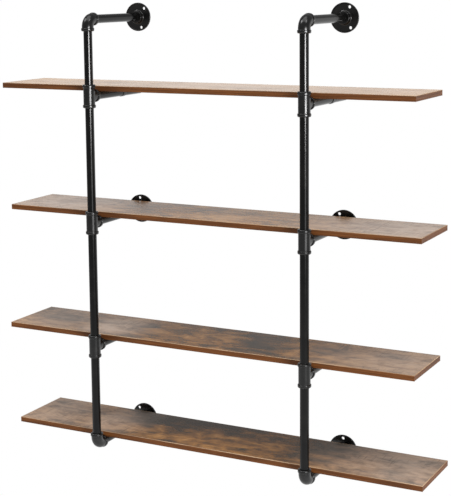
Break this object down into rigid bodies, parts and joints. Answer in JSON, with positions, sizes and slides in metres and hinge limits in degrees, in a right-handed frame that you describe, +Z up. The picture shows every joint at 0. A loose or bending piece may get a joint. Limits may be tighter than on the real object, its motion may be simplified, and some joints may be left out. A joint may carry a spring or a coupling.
{
  "type": "wall-mounted shelving unit",
  "caption": "Wall-mounted shelving unit: wood-look boards carried on the arms of black pipe uprights, with banded fittings and round wall flanges.",
  "frame": {"origin": "on the wall, midway between the uprights, level with the axis of the second shelf's arms", "axes": "+X to the right along the boards, +Y into the wall, +Z up"},
  "size_m": [1.4322, 0.3202, 1.441],
  "materials": {
    "black_pipe": "gloss black paint",
    "black_fitting": "malleable iron casting under gloss black paint",
    "board_decor": "rustic brown laminate with dark, worn grain",
    "board_edging": "satin red-brown edge band",
    "strap_steel": "black paint",
    "screw_steel": "black oxide",
    "plug_plastic": "moulded black plastic"
  },
  "bodies": {
    "root": {"shelf_board_1": "board_decor", "shelf_edging_1": "board_edging", "shelf_board_2": "board_decor", "shelf_edging_2": "board_edging", "shelf_board_3": "board_decor", "shelf_edging_3": "board_edging", "shelf_board_4": "board_decor", "shelf_edging_4": "board_edging", "left_strap_1": "strap_steel", "left_upright_1": "black_pipe", "left_arm_1": "black_pipe", "left_strap_2": "strap_steel", "left_upright_2": "black_pipe", "left_arm_2": "black_pipe", "left_strap_3": "strap_steel", "left_upright_3": "black_pipe", "left_arm_3": "black_pipe", "left_strap_4": "strap_steel", "left_upright_4": "black_pipe", "left_arm_4": "black_pipe", "left_top_arm": "black_pipe", "left_tee_1": "black_fitting", "left_tee_2": "black_fitting", "left_tee_3": "black_fitting", "left_top_elbow": "black_fitting", "left_bottom_elbow": "black_fitting", "left_top_flange": "black_fitting", "left_mid_flange": "black_fitting", "left_low_flange": "black_fitting", "left_arm_plug_1": "plug_plastic", "left_arm_plug_3": "plug_plastic", "right_strap_1": "strap_steel", "right_upright_1": "black_pipe", "right_arm_1": "black_pipe", "right_strap_2": "strap_steel", "right_upright_2": "black_pipe", "right_arm_2": "black_pipe", "right_strap_3": "strap_steel", "right_upright_3": "black_pipe", "right_arm_3": "black_pipe", "right_strap_4": "strap_steel", "right_upright_4": "black_pipe", "right_arm_4": "black_pipe", "right_top_arm": "black_pipe", "right_tee_1": "black_fitting", "right_tee_2": "black_fitting", "right_tee_3": "black_fitting", "right_top_elbow": "black_fitting", "right_bottom_elbow": "black_fitting", "right_top_flange": "black_fitting", "right_mid_flange": "black_fitting", "right_low_flange": "black_fitting", "right_arm_plug_1": "plug_plastic", "right_arm_plug_3": "plug_plastic", "strap_screws": "screw_steel"}
  },
  "joints": []
}
